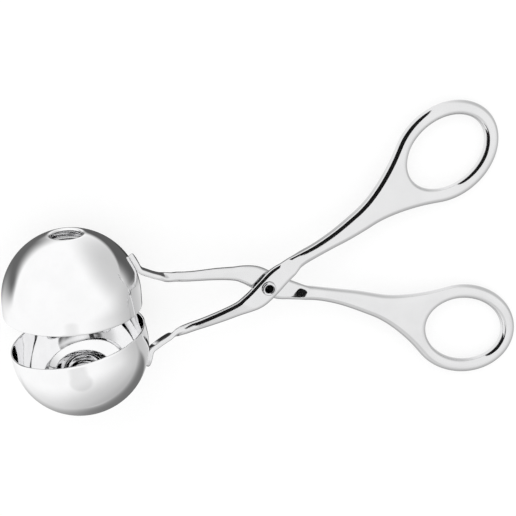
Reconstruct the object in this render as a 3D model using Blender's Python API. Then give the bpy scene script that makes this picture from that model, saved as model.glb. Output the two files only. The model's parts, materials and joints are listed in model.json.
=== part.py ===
"""Meatball tongs in metres, +Z up.

Two pressed levers cross at a hollow rivet. Each lever ends in a finger loop on one side of the
rivet and, on the other, in a strip that is twisted on edge and welded to a round cup. Closing
the loops brings the rims of the two cups together into a ball.

Each lever is drawn in its own frame: the rivet's axis is at the origin along +Z, the cup lies
towards -X and below the X axis, and the rim of the cup lies along the X axis when the tongs are
closed. The rear lever is the same shape mirrored across the X axis.
"""

import math

import bmesh
import bpy
from mathutils import Matrix, Vector

# Pose
REST_OPENING_DEG = 8.56
HANDLE_TURN_DEG = 2.6
SWAY = 0.0018
SWAY_HEADING_DEG = 110.0
PAD_HEADING_DEG = 52.0
PATH_HEADING_DEG = 19.5

# Clearances
CLEARANCE = 0.0003
RIM_GAP = 0.0003

# Sheet that both levers are pressed from
SHEET = 0.0020
EDGE_BREAK = 0.0003
PAD_EDGE_RADIUS = 0.0015
PAD_LIP = 0.0006
STRIP_EDGE_RADIUS = 0.0005

# Pad round the rivet
PAD_HALF_WIDTH = 0.0046
PAD_DROP = 0.0005
PAD_SWAY_SHARE = 0.18
JOGGLE_START = 0.0090
FRONT_JOGGLE_RUN = 0.0030
REAR_JOGGLE_END = 0.0153
ARM_JOGGLE_END = 0.0300
CURL_START = 0.0120
CURL_RUN = 0.0060

# Arm, from the rivet to the end of the twist. Each row gives shares of the reach, of the drop,
# of the pad's half width and of the sway
ARM_REACH = 0.0405
ARM_DROP = 0.00945
ARM_SHARES = (
    (0.111, 0.360, 0.95, 0.18),
    (0.217, 0.530, 0.76, 0.20),
    (0.309, 0.620, 0.60, 0.12),
    (0.469, 0.720, 0.52, -0.03),
    (0.667, 0.800, 0.445, -0.24),
    (0.827, 0.865, 0.42, -0.27),
    (1.0, 1.0, 0.413, -0.24),
)

# Handle, from the rivet to the neck of the loop, in rows of the same kind
HANDLE_REACH = 0.0402
HANDLE_RISE = 0.0144
HANDLE_SHARES = (
    (0.112, 0.160, 0.97, 0.33),
    (0.224, 0.283, 0.80, 0.50),
    (0.336, 0.389, 0.63, 0.66),
    (0.50, 0.506, 0.585, 0.80),
    (0.67, 0.650, 0.65, 0.89),
    (0.83, 0.805, 0.79, 0.94),
    (1.0, 1.0, 0.945, 1.0),
)
WAIST_SHARE = 0.43
WAIST_EDGE_RADIUS = 0.0020
WAIST_DEPTH = 0.0032
NECK_EDGE_RADIUS = 0.0020
NECK_DEPTH = 0.0036
HANDLE_LIP = 0.0014

# Finger loop
LOOP_TILT_DEG = 24.4
HOLE_HALF_LENGTH = 0.0163
HOLE_HALF_WIDTH = 0.0128
HOLE_EDGE_RADIUS = 0.0018
LOOP_BAND = 0.0054
LOOP_EDGE_RADIUS = 0.0020
LOOP_DEPTH = 0.0030
NECK_LENGTH = 0.0400
FAN_HALF_SWEEP_DEG = 50.0
FAN_PULL_SHARE = 0.33

# Strip and tab on the cup
STRIP_HALF_WIDTH = 0.0019
STRIP_HEADING_DEG = 25.0
BEND_RADIUS = 0.0030
TAB_START_DEG = -20.0
TAB_END_DEG = -31.6
TAB_SWAY_DEG = 0.9
TAB_TIP_SHARES = ((0.55, 1.0), (0.80, 0.87), (0.93, 0.62), (1.0, 0.30))

# Cup
PIVOT_TO_CUP = 0.0722
CUP_RADIUS = 0.0250
CUP_SKIRT = 0.0046
CUP_WALL = 0.0007
VENT_RADIUS = 0.0062
VENT_LIP = 0.0008

# Rivet
SHANK_RADIUS = 0.0020
RIVET_BORE_RADIUS = 0.0015
ROLL_RADIUS = 0.0027
ROLL_HEIGHT = 0.0008
HEAD_RADIUS = 0.0036
HEAD_HEIGHT = 0.0009
CUT_OVERRUN = 0.0010

# Finishes as (colour, roughness)
LEVER_FINISH = ((0.78, 0.78, 0.79), 0.12)
CUP_FINISH = ((0.82, 0.82, 0.83), 0.06)
RIVET_FINISH = ((0.70, 0.70, 0.71), 0.20)

# Tolerances
WELD = 0.000001
TILT_STEP = 0.000001
SHARP_ANGLE_DEG = 40.0
TANGENT_STEP_DEG = 1.0

# Mesh steps
ACROSS = 8
LOOP_STEPS = 28
FAN_STEPS = 5
BAND_STEPS = 2
SPAN_STEPS = 3
TWIST_STEPS = 7
STRIP_STEPS = 2
BEND_STEPS = 3
TAB_STEPS = 3
ROUND_STEPS = 3
CUP_STEPS = 48
DOME_STEPS = 11
RIVET_STEPS = 32

PAD_MID = (SHEET + CLEARANCE) / 2
RIM_SETBACK = RIM_GAP / 2
TAB_RADIUS = CUP_RADIUS + CLEARANCE + SHEET / 2


def heading(degrees):
    """Unit vector in the lever's plane at this angle from +X."""
    return Vector((math.cos(math.radians(degrees)), math.sin(math.radians(degrees))))


def smooth(share):
    """Eases from 0 to 1 as share goes from 0 to 1, and holds outside."""
    share = min(max(share, 0.0), 1.0)
    return share * share * (3 - 2 * share)


def blend(low, high, share):
    return low + (high - low) * share


def turned(point, degrees):
    return Matrix.Rotation(math.radians(degrees), 2) @ point


def spline(points, counts):
    """A smooth curve through the points, with one count of steps for each span."""
    padded = [2 * points[0] - points[1]] + points + [2 * points[-1] - points[-2]]
    curve = []
    for a, b, c, d, count in zip(padded, padded[1:], padded[2:], padded[3:], counts):
        for step in range(count):
            t = step / count
            pull = (c - a) * t + (2 * a - 5 * b + 4 * c - d) * t * t
            pull = pull + (3 * (b - c) + d - a) * t * t * t
            curve.append(b + pull / 2)
    curve.append(points[-1])
    return curve


class Station:
    """One row across the lever: where its middle is, how it lies and the shape of its edges."""

    def __init__(self, middle, along, half_width, radius, depth, lip, twist=0.0, pad_level=0.0):
        side = Vector((-along.y, along.x, 0)).normalized()
        up = Vector((0, 0, 1))
        self.across = side * math.cos(twist) + up * math.sin(twist)
        self.normal = up * math.cos(twist) - side * math.sin(twist)
        self.middle = middle
        self.half_width = half_width
        self.radius = radius
        self.depth = depth
        self.lip = lip
        self.pad_level = pad_level

    def point(self, share):
        """A point of the outer face, share 0 on the right and 1 on the left, looking along."""
        offset = (self.half_width - self.radius) * (2 * share - 1)
        place = self.middle + self.across * offset
        level = Vector((0, 0, sheet_level(place.to_2d(), self.pad_level)))
        return place + level + self.normal * (SHEET / 2)


def sheet_level(point, pad_level):
    """Height of the middle of the sheet: on the pad's level at the rivet and 0 beyond the joggle. The
    joggle starts on a slant. It ends square across the arm and the rear handle."""
    gone = abs(point.dot(heading(PAD_HEADING_DEG))) - JOGGLE_START
    if gone <= 0:
        return pad_level
    along = point.dot(heading(PATH_HEADING_DEG))
    if along < 0:
        left = ARM_JOGGLE_END + along
    elif pad_level > 0:
        left = FRONT_JOGGLE_RUN - gone
    else:
        left = REAR_JOGGLE_END - along
    return blend(pad_level, 0.0, gone / (gone + max(left, 0)))


def flat_station(row, along, pad_level):
    """A row of the flat arm, pad or handle, its edges shaped by how far it is from the rivet."""
    place = row.to_2d()
    if place.x < 0:
        radius, depth, lip = PAD_EDGE_RADIUS, SHEET, PAD_LIP
    else:
        to_neck = smooth((place.x / HANDLE_REACH - WAIST_SHARE) / (1 - WAIST_SHARE))
        curl = smooth((place.length - CURL_START) / CURL_RUN)
        radius = blend(blend(PAD_EDGE_RADIUS, WAIST_EDGE_RADIUS, curl), NECK_EDGE_RADIUS, to_neck)
        depth = blend(blend(SHEET, WAIST_DEPTH, curl), NECK_DEPTH, to_neck)
        lip = blend(PAD_LIP, HANDLE_LIP, curl)
    return Station(place.to_3d(), along, row.z, radius, depth, lip, pad_level=pad_level)


def along_curve(curve, place):
    """Direction of travel at a point of a curve."""
    ahead = curve[min(place + 1, len(curve) - 1)]
    behind = curve[max(place - 1, 0)]
    return (ahead - behind).to_2d().normalized()


def path_row(reach, rise, shares, sign):
    """One row of a path table as (x, y, half width). The sway leans both levers the same way."""
    x, y, width, sway = shares
    place = Vector((reach * x, rise * y)) + heading(SWAY_HEADING_DEG) * (SWAY * sway * sign)
    return Vector((place.x, place.y, PAD_HALF_WIDTH * width))


def neck_end(sign):
    return path_row(HANDLE_REACH, HANDLE_RISE, HANDLE_SHARES[-1], sign).to_2d()


def path_stations(sign):
    """Rows from the neck of the loop, over the pad and arm, to the bend at the cup."""
    handle = [path_row(HANDLE_REACH, HANDLE_RISE, shares, sign) for shares in HANDLE_SHARES]
    arm = [path_row(-ARM_REACH, -ARM_DROP, shares, sign) for shares in ARM_SHARES]
    middle = path_row(0, -PAD_DROP, (0, 1, 1, PAD_SWAY_SHARE), sign)
    bend_end = bend_points(sign)[2]
    strip_end = Vector((bend_end.x, bend_end.y, STRIP_HALF_WIDTH))
    points = list(reversed(handle)) + [middle] + arm + [strip_end]
    counts = [SPAN_STEPS] * (len(points) - 3) + [TWIST_STEPS, STRIP_STEPS]
    curve = spline(points, counts)
    twist_start = len(curve) - 1 - STRIP_STEPS - TWIST_STEPS
    rows = []
    for place, row in enumerate(curve):
        along = -along_curve(curve, place)
        turn = smooth((place - twist_start) / TWIST_STEPS)
        if turn > 0:
            middle = row.to_2d().to_3d()
            radius = blend(PAD_EDGE_RADIUS, STRIP_EDGE_RADIUS, turn)
            twist = turn * math.pi / 2
            rows.append(Station(middle, along, row.z, radius, SHEET, PAD_LIP, twist))
        else:
            rows.append(flat_station(row, along, PAD_MID * sign))
    return rows


def cup_centre():
    return Vector((-PIVOT_TO_CUP, -RIM_SETBACK - CUP_SKIRT))


def bend_points(sign):
    """Where the strip leaves the cup's curve, the centre of the bend there, and where the bend ends."""
    out = heading(TAB_START_DEG - TAB_SWAY_DEG * sign)
    start = cup_centre() + TAB_RADIUS * out
    centre = start + BEND_RADIUS * out
    end = centre + BEND_RADIUS * heading(STRIP_HEADING_DEG + 90)
    return start, centre, end


def tab_stations(sign):
    """Rows of the bend and of the tab that lies on the cup."""
    bend_centre = bend_points(sign)[1]
    start = TAB_START_DEG - TAB_SWAY_DEG * sign
    end = TAB_END_DEG - TAB_SWAY_DEG * sign
    rows = []
    for step in range(1, BEND_STEPS + 1):
        angle = blend(STRIP_HEADING_DEG + 90, start + 180, step / BEND_STEPS)
        middle = bend_centre + BEND_RADIUS * heading(angle)
        rows.append(edgewise(middle, heading(angle - 90), STRIP_HALF_WIDTH))
    widths = [(step / TAB_STEPS * TAB_TIP_SHARES[0][0], 1.0) for step in range(1, TAB_STEPS)]
    for share, width in widths + list(TAB_TIP_SHARES):
        angle = blend(start, end, share)
        middle = cup_centre() + TAB_RADIUS * heading(angle)
        rows.append(edgewise(middle, heading(angle + 90), STRIP_HALF_WIDTH * width))
    return rows


def edgewise(middle, along, half_width):
    return Station(middle.to_3d(), along, half_width, STRIP_EDGE_RADIUS, SHEET, PAD_LIP, math.pi / 2)


def loop_point(degrees, grow):
    """A point of the hole's outline grown outwards, in the loop's own frame."""
    angle = math.radians(degrees)
    return Vector(((HOLE_HALF_LENGTH + grow) * math.cos(angle), (HOLE_HALF_WIDTH + grow) * math.sin(angle)))


def loop_angles():
    """Angles round the loop: first across the fan that faces the neck, then round the rest."""
    sweep = 2 * FAN_HALF_SWEEP_DEG
    fan = [180 + FAN_HALF_SWEEP_DEG - sweep * step / ACROSS for step in range(ACROSS)]
    rest = [180 - FAN_HALF_SWEEP_DEG - (360 - sweep) * step / LOOP_STEPS for step in range(LOOP_STEPS)]
    return fan + rest


def neck_flat_half():
    """Half the width of the flat between the neck's two rounded edges."""
    return PAD_HALF_WIDTH * HANDLE_SHARES[-1][2] - NECK_EDGE_RADIUS


def fan_side(share, sign):
    """The fan's edge, from the neck at share 0 to the loop at share 1, as a Bezier curve."""
    start = Vector((-NECK_LENGTH, neck_flat_half() * sign))
    end = loop_point(180 - FAN_HALF_SWEEP_DEG, LOOP_BAND - LOOP_EDGE_RADIUS)
    beyond = 180 - FAN_HALF_SWEEP_DEG - TANGENT_STEP_DEG
    near = loop_point(beyond, LOOP_BAND - LOOP_EDGE_RADIUS)
    tangent = (near - end).normalized()
    end.y *= sign
    tangent.y *= sign
    pull = (NECK_LENGTH - HOLE_HALF_LENGTH) * FAN_PULL_SHARE
    first = start + Vector((pull, 0))
    second = end - tangent * pull
    rest = 1 - share
    return start * rest**3 + first * 3 * rest**2 * share + second * 3 * rest * share**2 + end * share**3


def fan_point(row, column):
    """A point of the web between the loop, at row 0, and the neck, at row 1."""
    angle = 180 + FAN_HALF_SWEEP_DEG - 2 * FAN_HALF_SWEEP_DEG * column
    arc = loop_point(angle, LOOP_BAND - LOOP_EDGE_RADIUS)
    neck = Vector((-NECK_LENGTH, blend(-neck_flat_half(), neck_flat_half(), column)))
    low = fan_side(1 - row, -1) - blend(fan_side(1, -1), fan_side(0, -1), row)
    high = fan_side(1 - row, 1) - blend(fan_side(1, 1), fan_side(0, 1), row)
    return blend(arc, neck, row) + blend(low, high, column)


def extruded(mesh, edges):
    """Extrudes the edges and returns the new vertices and edges. Custom values go with each vertex."""
    made = bmesh.ops.extrude_edge_only(mesh, edges=edges)["geom"]
    verts = [part for part in made if isinstance(part, bmesh.types.BMVert)]
    return verts, [part for part in made if isinstance(part, bmesh.types.BMEdge)]


def face_sheet(mesh, stations, sign):
    """The lever's outer face as an open sheet: the loop's band, the fan, the handle, pad and arm."""
    order = mesh.verts.layers.int.new("order")
    shape = mesh.verts.layers.float_vector.new("shape")
    normal = mesh.verts.layers.float_vector.new("normal")
    angles = loop_angles()
    tilt = LOOP_TILT_DEG + HANDLE_TURN_DEG * sign
    centre = neck_end(sign) + NECK_LENGTH * heading(tilt)

    def place(vert, point, values):
        flat = centre + turned(point, tilt)
        vert.co = Vector((flat.x, flat.y, SHEET / 2))
        vert[shape] = values
        vert[normal] = (0, 0, 1)

    circle = bmesh.ops.create_circle(mesh, segments=len(angles), radius=HOLE_HALF_LENGTH)["verts"]
    hole_values = (HOLE_EDGE_RADIUS, LOOP_DEPTH, HANDLE_LIP)
    for number, vert in enumerate(circle):
        vert[order] = number
        place(vert, loop_point(angles[number], HOLE_EDGE_RADIUS), hole_values)
    edges = list(mesh.edges)
    flat_band = LOOP_BAND - LOOP_EDGE_RADIUS - HOLE_EDGE_RADIUS
    rim_values = (LOOP_EDGE_RADIUS, LOOP_DEPTH, HANDLE_LIP)
    for step in range(1, BAND_STEPS + 1):
        verts, edges = extruded(mesh, edges)
        for vert in verts:
            grow = HOLE_EDGE_RADIUS + flat_band * step / BAND_STEPS
            place(vert, loop_point(angles[vert[order]], grow), rim_values)

    edges = [edge for edge in edges if all(vert[order] <= ACROSS for vert in edge.verts)]
    for step in range(1, FAN_STEPS):
        verts, edges = extruded(mesh, edges)
        row = step / FAN_STEPS
        values = (
            blend(LOOP_EDGE_RADIUS, NECK_EDGE_RADIUS, row),
            blend(LOOP_DEPTH, NECK_DEPTH, row),
            HANDLE_LIP,
        )
        for vert in verts:
            place(vert, fan_point(row, vert[order] / ACROSS), values)
    for station in stations:
        verts, edges = extruded(mesh, edges)
        for vert in verts:
            vert.co = station.point(vert[order] / ACROSS)
            vert[shape] = (station.radius, station.depth, station.lip)
            vert[normal] = station.normal


def edge_profile(radius, depth, lip):
    """How far in from the outline, and how far down from the face, each ring of the edge lies."""
    rings = []
    for step in range(1, ROUND_STEPS + 1):
        angle = math.pi / 2 * step / ROUND_STEPS
        rings.append((radius * (1 - math.sin(angle)), radius * (1 - math.cos(angle))))
    rings.append((0, depth - EDGE_BREAK))
    rings.append((EDGE_BREAK, depth))
    rings.append((lip, depth))
    rings.append((lip + EDGE_BREAK, SHEET))
    return rings


def outward_directions(mesh, normal):
    """For each vertex on the sheet's boundary, the direction away from the sheet along its surface."""
    found = {}
    for edge in mesh.edges:
        if len(edge.link_loops) != 1:
            continue
        loop = edge.link_loops[0]
        run = loop.link_loop_next.vert.co - loop.vert.co
        for vert in edge.verts:
            found.setdefault(vert, []).append(run.cross(vert[normal]).normalized())
    return {vert: sum(sides, Vector()).normalized() for vert, sides in found.items()}


def thicken(mesh):
    """Rolls the boundary of the sheet down into a rounded edge and closes the hollow back."""
    shape = mesh.verts.layers.float_vector["shape"]
    normal = mesh.verts.layers.float_vector["normal"]
    outward = mesh.verts.layers.float_vector.new("outward")
    start = mesh.verts.layers.float_vector.new("start")
    for vert in mesh.verts:
        vert[start] = vert.co
    boundary = [edge for edge in mesh.edges if edge.is_boundary]
    for vert, direction in outward_directions(mesh, normal).items():
        vert[outward] = direction
    back = bmesh.ops.duplicate(mesh, geom=mesh.verts[:] + mesh.edges[:] + mesh.faces[:])["geom"]
    for part in back:
        if isinstance(part, bmesh.types.BMVert):
            radius, _, lip = part[shape]
            moved = part[outward] * (radius - lip - EDGE_BREAK)
            part.co = part[start] + moved - part[normal] * SHEET
    edges = boundary
    rings = len(edge_profile(0, 0, 0))
    for ring in range(rings):
        verts, edges = extruded(mesh, edges)
        for vert in verts:
            inset, down = edge_profile(*vert[shape])[ring]
            vert.co = vert[start] + vert[outward] * (vert[shape][0] - inset) - vert[normal] * down
    bmesh.ops.remove_doubles(mesh, verts=mesh.verts[:], dist=WELD)


def steel(name, colour, roughness):
    material = bpy.data.materials.new(name)
    material.use_nodes = True
    shader = material.node_tree.nodes["Principled BSDF"]
    shader.inputs["Base Color"].default_value = (*colour, 1)
    shader.inputs["Metallic"].default_value = 1
    shader.inputs["Roughness"].default_value = roughness
    return material


def new_object(name, mesh, parent, finish):
    bmesh.ops.recalc_face_normals(mesh, faces=mesh.faces[:])
    data = bpy.data.meshes.new(name)
    mesh.to_mesh(data)
    mesh.free()
    data.shade_smooth()
    data.set_sharp_from_angle(angle=math.radians(SHARP_ANGLE_DEG))
    data.materials.append(steel(name + "_steel", *finish))
    item = bpy.data.objects.new(name, data)
    bpy.context.scene.collection.objects.link(item)
    item.parent = parent
    return item


def empty(name, parent):
    item = bpy.data.objects.new(name, None)
    bpy.context.scene.collection.objects.link(item)
    item.parent = parent
    return item


def pivot_cutter(parent):
    """A guide the width of the rivet's hole, longer than both pads are thick."""
    mesh = bmesh.new()
    length = 2 * (PAD_MID + SHEET + CUT_OVERRUN)
    radius = SHANK_RADIUS + CLEARANCE
    bmesh.ops.create_cone(
        mesh, cap_ends=True, segments=RIVET_STEPS, radius1=radius, radius2=radius, depth=length
    )
    cutter = new_object("pivot_cutter", mesh, parent, LEVER_FINISH)
    cutter.hide_render = True
    cutter.display_type = "WIRE"
    return cutter


def lever(name, side, mirrored, cutter):
    """One lever. The front one passes over the other at the rivet, the rear one under it."""
    sign = -1 if mirrored else 1
    mesh = bmesh.new()
    face_sheet(mesh, path_stations(sign) + tab_stations(sign), sign)
    thicken(mesh)
    if mirrored:
        bmesh.ops.scale(mesh, vec=(1, -1, 1), verts=mesh.verts[:])
    item = new_object(name, mesh, side, LEVER_FINISH)
    hole = item.modifiers.new("rivet_hole", "BOOLEAN")
    hole.operation = "DIFFERENCE"
    hole.object = cutter
    return item


def cup_profile():
    """Outline of the cup's wall in (radius, depth below the rim): down the outside, up the inside."""
    outside = [(CUP_RADIUS, 0), (CUP_RADIUS, CUP_SKIRT)]
    inside_radius = CUP_RADIUS - CUP_WALL
    inside = [(inside_radius, 0), (inside_radius, CUP_SKIRT)]
    for radius, wall in ((CUP_RADIUS, outside), (inside_radius, inside)):
        last = math.acos(VENT_RADIUS / radius)
        for step in range(1, DOME_STEPS + 1):
            angle = last * step / DOME_STEPS
            wall.append((radius * math.cos(angle), CUP_SKIRT + radius * math.sin(angle)))
    lip_end = inside[-1][1] - VENT_LIP
    lip = [(VENT_RADIUS - CUP_WALL, outside[-1][1] - CUP_WALL), (VENT_RADIUS - CUP_WALL, lip_end)]
    return outside + lip + [(VENT_RADIUS, lip_end)] + list(reversed(inside))


def cup(name, side, mirrored):
    """A round cup with its rim on the closing plane and a vent hole with a turned-in lip at its pole."""
    sign = -1 if mirrored else 1
    mesh = bmesh.new()
    verts = [mesh.verts.new((radius, 0, -depth)) for radius, depth in cup_profile()]
    edges = [mesh.edges.new((a, b)) for a, b in zip(verts, verts[1:] + verts[:1])]
    bmesh.ops.spin(
        mesh,
        geom=verts + edges,
        cent=(0, 0, 0),
        axis=(0, 0, 1),
        angle=math.tau,
        steps=CUP_STEPS,
        use_merge=True,
    )
    item = new_object(name, mesh, side, CUP_FINISH)
    item.location = (-PIVOT_TO_CUP, -RIM_SETBACK * sign, 0)
    item.rotation_euler = (-math.pi / 2 * sign, 0, 0)
    return item


def rivet(side):
    """A hollow rivet: flat head behind, shank through both pads, rolled end in front with its bore."""
    front = PAD_MID + SHEET / 2 + CLEARANCE
    back = -front
    mid_roll = (ROLL_RADIUS + RIVET_BORE_RADIUS) / 2
    half_roll = (ROLL_RADIUS - RIVET_BORE_RADIUS) / 2
    profile = [(0, back - HEAD_HEIGHT), (HEAD_RADIUS - HEAD_HEIGHT / 2, back - HEAD_HEIGHT)]
    profile += [(HEAD_RADIUS, back - HEAD_HEIGHT / 2), (HEAD_RADIUS, back), (SHANK_RADIUS, back)]
    profile += [(SHANK_RADIUS, front)]
    for step in range(2 * ROUND_STEPS + 1):
        angle = math.pi * step / (2 * ROUND_STEPS)
        profile.append((mid_roll + half_roll * math.cos(angle), front + ROLL_HEIGHT * math.sin(angle)))
    profile += [(RIVET_BORE_RADIUS, back), (0, back)]
    mesh = bmesh.new()
    verts = [mesh.verts.new((radius, 0, height)) for radius, height in profile]
    edges = [mesh.edges.new((a, b)) for a, b in zip(verts, verts[1:])]
    bmesh.ops.spin(
        mesh,
        geom=verts + edges,
        cent=(0, 0, 0),
        axis=(0, 0, 1),
        angle=math.tau,
        steps=RIVET_STEPS,
        use_merge=True,
    )
    bmesh.ops.remove_doubles(mesh, verts=mesh.verts[:], dist=WELD)
    return new_object("pivot_rivet", mesh, side, RIVET_FINISH)


def points_in_world(items):
    """Every vertex of the items as the modifiers leave it, in world space."""
    bpy.context.view_layer.update()
    graph = bpy.context.evaluated_depsgraph_get()
    points = []
    for item in items:
        evaluated = item.evaluated_get(graph)
        points += [evaluated.matrix_world @ vert.co for vert in evaluated.data.vertices]
    return points


def lie_on_table(frame, cups, levers):
    """Tilts the tongs until the cups and the loops touch the table, and centres them on the origin."""
    low, high = 0.0, math.pi / 2
    cup_points = points_in_world(cups)
    lever_points = points_in_world(levers)
    while high - low > TILT_STEP:
        tilt = (low + high) / 2
        turn = Matrix.Rotation(tilt, 3, "Y")
        lowest_cup = min((turn @ point).z for point in cup_points)
        lowest_lever = min((turn @ point).z for point in lever_points)
        if lowest_cup < lowest_lever:
            low = tilt
        else:
            high = tilt
    frame.rotation_euler = (0, low, 0)
    points = points_in_world(cups + levers)
    for axis in range(2):
        values = [point[axis] for point in points]
        frame.location[axis] = -(min(values) + max(values)) / 2
    frame.location.z = -min(point.z for point in points)


def main():
    for item in list(bpy.data.objects):
        bpy.data.objects.remove(item)
    frame = empty("tongs_frame", None)
    front = empty("front_side", frame)
    rear = empty("rear_side", frame)
    front.rotation_euler = (0, 0, math.radians(REST_OPENING_DEG / 2))
    rear.rotation_euler = (0, 0, -math.radians(REST_OPENING_DEG / 2))
    cutter = pivot_cutter(frame)
    levers = [lever("front_lever", front, False, cutter), lever("rear_lever", rear, True, cutter)]
    cups = [cup("lower_cup", front, False), cup("upper_cup", rear, True)]
    rivet(front)
    lie_on_table(frame, cups, levers)


main()
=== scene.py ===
"""Meatball tongs: the finished look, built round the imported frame. Metres, +Z up.

Two pressed steel levers cross at a hollow rivet. Each ends in a finger loop and, on the other side, in
a strip that is twisted on edge and welded to a round cup. Each lever is drawn in its own frame: the
rivet's axis is at the origin along +Z, the cup lies towards -X and below the X axis, and the rear lever
is the same shape mirrored across the X axis.
"""

import json
import math

import bmesh
import bpy
from mathutils import Matrix, Vector


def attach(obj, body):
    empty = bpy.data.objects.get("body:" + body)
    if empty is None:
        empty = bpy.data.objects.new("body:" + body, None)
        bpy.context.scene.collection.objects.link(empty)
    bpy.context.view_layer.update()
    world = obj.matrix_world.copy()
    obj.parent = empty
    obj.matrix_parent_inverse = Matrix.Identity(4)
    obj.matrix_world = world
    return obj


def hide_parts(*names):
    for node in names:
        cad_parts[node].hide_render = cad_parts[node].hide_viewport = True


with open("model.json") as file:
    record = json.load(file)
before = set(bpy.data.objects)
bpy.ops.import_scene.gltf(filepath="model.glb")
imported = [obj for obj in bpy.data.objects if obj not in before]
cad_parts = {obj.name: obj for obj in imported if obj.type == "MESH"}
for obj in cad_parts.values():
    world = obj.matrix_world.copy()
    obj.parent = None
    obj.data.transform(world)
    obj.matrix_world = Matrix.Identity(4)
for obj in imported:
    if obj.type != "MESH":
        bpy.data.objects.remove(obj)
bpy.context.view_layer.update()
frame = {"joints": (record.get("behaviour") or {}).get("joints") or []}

# Pose
REST_OPENING_DEG = 8.56
HANDLE_TURN_DEG = 2.6
SWAY = 0.0018
SWAY_HEADING_DEG = 110.0
PAD_HEADING_DEG = 52.0
PATH_HEADING_DEG = 19.5

# Clearances. The weld sinks a tab a little into its cup
CLEARANCE = 0.0003
RIM_GAP = 0.0003
WELD_SINK = 0.00005

# Sheet that both levers are pressed from
SHEET = 0.0020
EDGE_BREAK = 0.0003
PAD_EDGE_RADIUS = 0.0015
PAD_LIP = 0.0006
STRIP_EDGE_RADIUS = 0.0005

# Pad round the rivet
PAD_HALF_WIDTH = 0.0046
PAD_DROP = 0.0005
PAD_SWAY_SHARE = 0.18
JOGGLE_START = 0.0090
FRONT_JOGGLE_RUN = 0.0030
REAR_JOGGLE_END = 0.0153
ARM_JOGGLE_END = 0.0300
CURL_START = 0.0120
CURL_RUN = 0.0060

# Arm, from the rivet to the end of the twist. Each row gives shares of the reach, of the drop,
# of the pad's half width and of the sway
ARM_REACH = 0.0405
ARM_DROP = 0.00945
ARM_SHARES = (
    (0.111, 0.360, 0.95, 0.18),
    (0.217, 0.530, 0.76, 0.20),
    (0.309, 0.620, 0.60, 0.12),
    (0.469, 0.720, 0.52, -0.03),
    (0.667, 0.800, 0.445, -0.24),
    (0.827, 0.865, 0.42, -0.27),
    (1.0, 1.0, 0.413, -0.24),
)

# Handle, from the rivet to the neck of the loop, in rows of the same kind
HANDLE_REACH = 0.0402
HANDLE_RISE = 0.0144
HANDLE_SHARES = (
    (0.112, 0.160, 0.97, 0.33),
    (0.224, 0.283, 0.80, 0.50),
    (0.336, 0.389, 0.63, 0.66),
    (0.50, 0.506, 0.585, 0.80),
    (0.67, 0.650, 0.65, 0.89),
    (0.83, 0.805, 0.79, 0.94),
    (1.0, 1.0, 0.945, 1.0),
)
WAIST_SHARE = 0.43
WAIST_EDGE_RADIUS = 0.0020
WAIST_DEPTH = 0.0032
NECK_EDGE_RADIUS = 0.0020
NECK_DEPTH = 0.0036
HANDLE_LIP = 0.0014

# Finger loop
LOOP_TILT_DEG = 24.4
HOLE_HALF_LENGTH = 0.0163
HOLE_HALF_WIDTH = 0.0128
HOLE_EDGE_RADIUS = 0.0018
LOOP_BAND = 0.0054
LOOP_EDGE_RADIUS = 0.0020
LOOP_DEPTH = 0.0030
NECK_LENGTH = 0.0400
FAN_HALF_SWEEP_DEG = 50.0
FAN_PULL_SHARE = 0.33

# Strip and tab on the cup
STRIP_HALF_WIDTH = 0.0019
STRIP_HEADING_DEG = 25.0
BEND_RADIUS = 0.0030
TAB_START_DEG = -20.0
TAB_END_DEG = -31.6
TAB_SWAY_DEG = 0.9
TAB_TIP_SHARES = ((0.55, 1.0), (0.80, 0.87), (0.93, 0.62), (1.0, 0.30))

# Cup
PIVOT_TO_CUP = 0.0722
CUP_RADIUS = 0.0250
CUP_SKIRT = 0.0046
CUP_WALL = 0.0007
VENT_RADIUS = 0.0062
VENT_LIP = 0.0008

# Rivet
SHANK_RADIUS = 0.0020
RIVET_BORE_RADIUS = 0.0015
ROLL_RADIUS = 0.0027
ROLL_HEIGHT = 0.0008
HEAD_RADIUS = 0.0036
HEAD_HEIGHT = 0.0009
CUT_OVERRUN = 0.0010

# Mesh steps
MERGE = 0.000001
SHARP_ANGLE_DEG = 40.0
TANGENT_STEP_DEG = 1.0
ACROSS = 8
LOOP_STEPS = 36
FAN_STEPS = 6
BAND_STEPS = 2
SPAN_STEPS = 6
TWIST_STEPS = 9
STRIP_STEPS = 3
BEND_STEPS = 4
TAB_STEPS = 4
ROUND_STEPS = 3
SMOOTH_LEVELS = 2
CUP_STEPS = 160
DOME_STEPS = 36
RIVET_STEPS = 72
ROLL_STEPS = 16

# Finer turns of the cup than the solid has
SKIRT_STEPS = 8
VENT_BEND = 0.0006

# Steel
STEEL_IOR = 2.6
LEVER_COLOUR = (0.78, 0.78, 0.785)
LEVER_ROUGHNESS = 0.09
LEVER_ROUGH_SPREAD = 0.02
LEVER_RIPPLE = 2e-5
LEVER_SCRATCH = 1e-6
CUP_COLOUR = (0.94, 0.94, 0.945)
CUP_ROUGHNESS = 0.04
CUP_ROUGH_SPREAD = 0.01
CUP_RIPPLE = 1e-5
CUP_SCRATCH = 5e-7
RIVET_COLOUR = (0.8, 0.8, 0.81)
RIVET_ROUGHNESS = 0.14
RIVET_ROUGH_SPREAD = 0.03
RIVET_RIPPLE = 1e-5
RIVET_SCRATCH = 1e-6
# Painted shade inside the rivet's bore: a dark colour within this radius and below this height, with a soft
# edge
BORE_SHADE_COLOUR = (0.12, 0.12, 0.12)
BORE_SHADE_RADIUS = 0.0019
BORE_SHADE_TOP = 0.0029
BORE_SHADE_SOFTNESS = 0.0003
TINT_SHARE = 0.96
CLOUD_SCALE = 90.0
CLOUD_DETAIL = 3
LINE_SCALE = 2500.0
LINE_DETAIL = 2
LINE_STRETCH = 12.0
RIPPLE_SCALE = 70.0
RIPPLE_DETAIL = 1
NOISE_RANGE = (0.3, 0.7)

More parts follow.
